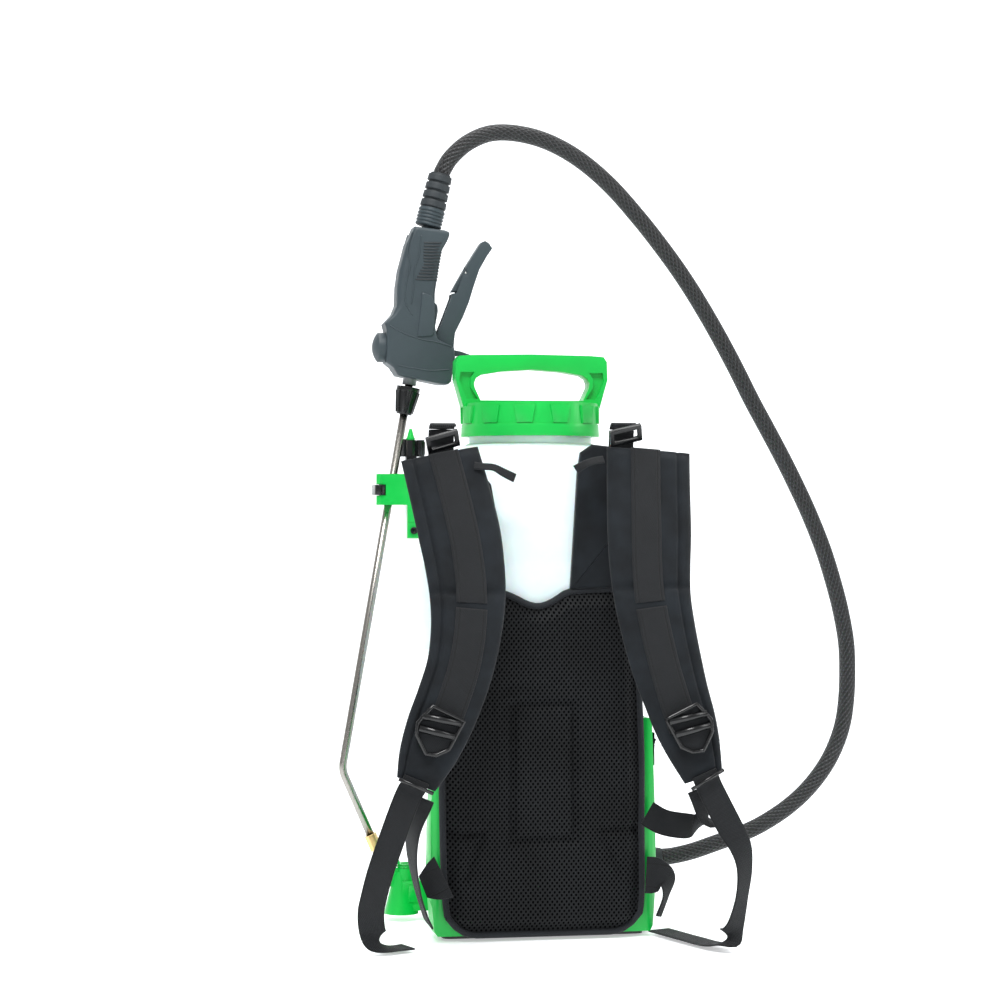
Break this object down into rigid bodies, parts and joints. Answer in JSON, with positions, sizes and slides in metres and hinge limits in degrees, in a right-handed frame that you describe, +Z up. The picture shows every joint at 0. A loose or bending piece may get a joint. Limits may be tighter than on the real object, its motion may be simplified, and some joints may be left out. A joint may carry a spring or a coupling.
{
  "type": "pump sprayer",
  "caption": "Backpack battery pump sprayer: translucent tank on a green base, filler cap with carry handle, padded harness, braided hose and trigger wand with a bent lance.",
  "frame": {"origin": "on the floor under the axis of the filler cap, on the bottom cover's flat underside", "axes": "+Z up, -Y out of the harness side towards the wearer's back, +Y out of the tank's front, +X towards the side that the hose leaves from"},
  "size_m": [0.548, 0.3153, 0.8074],
  "materials": {
    "tank_plastic": "translucent blow-moulded polyethylene, slightly glossy",
    "green_plastic": "satin moulded plastic",
    "green_dark": "satin moulded plastic",
    "black_plastic": "satin moulded plastic",
    "handle_plastic": "fine matte moulded plastic",
    "soft_rubber": "matte",
    "steel": "plain",
    "black_steel": "black oxide",
    "stainless": "satin tube",
    "brass": "machined",
    "valve_plastic": "moulded plastic",
    "clear_hose": "clear tube",
    "battery_plastic": "shrink wrap",
    "board": "solder mask",
    "braid": "braided nylon sleeve over rubber hose",
    "pad_fabric": "woven nylon over foam, air mesh on the back pad",
    "webbing": "woven nylon tape"
  },
  "bodies": {
    "sprayer": {"tank": "tank_plastic", "strainer_basket": "black_plastic", "base_housing": "green_plastic", "bottom_cover": "black_plastic", "rubber_feet": "soft_rubber", "cover_screws": "steel", "battery_pack": "battery_plastic", "control_board": "board", "pump_motor": "steel", "pump_head": "black_plastic", "tank_outlet": "black_plastic", "suction_tube": "clear_hose", "delivery_tube": "clear_hose", "outlet_fitting": "black_plastic", "outlet_relief": "soft_rubber", "switch_bezel": "black_plastic", "charge_socket": "steel", "nozzle_holster": "green_plastic", "lance_bracket": "green_plastic", "latch_pin": "steel", "bracket_screws": "black_steel", "spare_nozzle_holder": "black_plastic", "spare_nozzle_tips": "green_plastic", "handle_shell_near": "handle_plastic", "handle_shell_far": "handle_plastic", "handle_screws": "steel", "grip_insert": "soft_rubber", "valve_block": "valve_plastic", "valve_plug": "handle_plastic", "valve_spring": "steel", "lever_pin": "steel", "hose_nut": "handle_plastic", "hose_relief": "soft_rubber", "collar_nut": "black_plastic", "lance_tube": "stainless", "nozzle_body": "brass", "hose": "braid", "back_pad": "pad_fabric", "harness_yoke": "pad_fabric", "shoulder_pad_left": "pad_fabric", "shoulder_pad_right": "pad_fabric", "strap_buckles": "black_plastic", "load_adjusters": "black_plastic", "top_webbing": "webbing", "tail_webbing_left": "webbing", "tail_webbing_right": "webbing", "lower_webbing": "webbing"},
    "cap_ring": {"cap_seal": "soft_rubber"},
    "cap": {"filler_cap": "green_plastic", "breather_valve": "black_plastic"},
    "door": {"battery_door": "green_dark"},
    "cam": {"drive_cam": "steel"},
    "rocker": {"power_rocker": "black_plastic"},
    "flap": {"charge_flap": "soft_rubber"},
    "latch": {"bracket_latch": "black_plastic"},
    "lever": {"trigger_lever": "handle_plastic", "lock_pin": "steel"},
    "lock": {"trigger_lock": "handle_plastic"},
    "spindle": {"valve_spindle": "steel"},
    "spray_tip": {"nozzle_tip": "brass"}
  },
  "joints": [
    {"name": "cap_lift", "type": "slide", "parent": "sprayer", "child": "cap_ring", "axis": [0, 0, 1], "range_m": [0, 0.02]},
    {"name": "cap_turn", "type": "hinge", "parent": "cap_ring", "child": "cap", "pos_m": [0, 0, 0.5], "axis": [0, 0, 1], "range_deg": [0, 900]},
    {"name": "battery_door_hinge", "type": "hinge", "parent": "sprayer", "child": "door", "pos_m": [-0.046, 0.1189, 0.018], "axis": [-1, 0, 0], "range_deg": [0, 95]},
    {"name": "pump_drive", "type": "hinge", "parent": "sprayer", "child": "cam", "pos_m": [0.032, -0.006, 0.032], "axis": [1, 0, 0], "continuous": true},
    {"name": "power_switch", "type": "hinge", "parent": "sprayer", "child": "rocker", "pos_m": [0.1065, -0.06, 0.18], "axis": [0, -1, 0], "range_deg": [0, 12]},
    {"name": "charge_flap_hinge", "type": "hinge", "parent": "sprayer", "child": "flap", "pos_m": [0.06, 0.1223, 0.054], "axis": [1, 0, 0], "range_deg": [0, 100]},
    {"name": "lance_latch", "type": "hinge", "parent": "sprayer", "child": "latch", "pos_m": [-0.1437, 0.054, 0.434], "axis": [0, 0, 1], "range_deg": [0, 100]},
    {"name": "trigger", "type": "hinge", "parent": "sprayer", "child": "lever", "pos_m": [-0.076, 0.064, 0.574], "axis": [0, -1, 0], "range_deg": [0, 11], "stiffness_Nm_per_rad": 1.5, "springref_deg": -5.73},
    {"name": "trigger_lock", "type": "hinge", "parent": "lever", "child": "lock", "pos_m": [-0.056, 0.064, 0.655], "axis": [0, 1, 0], "range_deg": [0, 10]},
    {"name": "valve_push", "type": "slide", "parent": "sprayer", "child": "spindle", "axis": [-1, 0, 0], "range_m": [0, 0.0025]},
    {"name": "spray_adjust", "type": "hinge", "parent": "sprayer", "child": "spray_tip", "pos_m": [-0.1815, 0.064, 0.151], "axis": [0.3987, 0, -0.9171], "range_deg": [0, 270]}
  ],
  "couplings": [
    {"joint": "cap_lift", "follows": "cap_turn", "m_per_rad": 0.0012732},
    {"joint": "valve_push", "follows": "trigger", "m_per_rad": 0.0112}
  ]
}
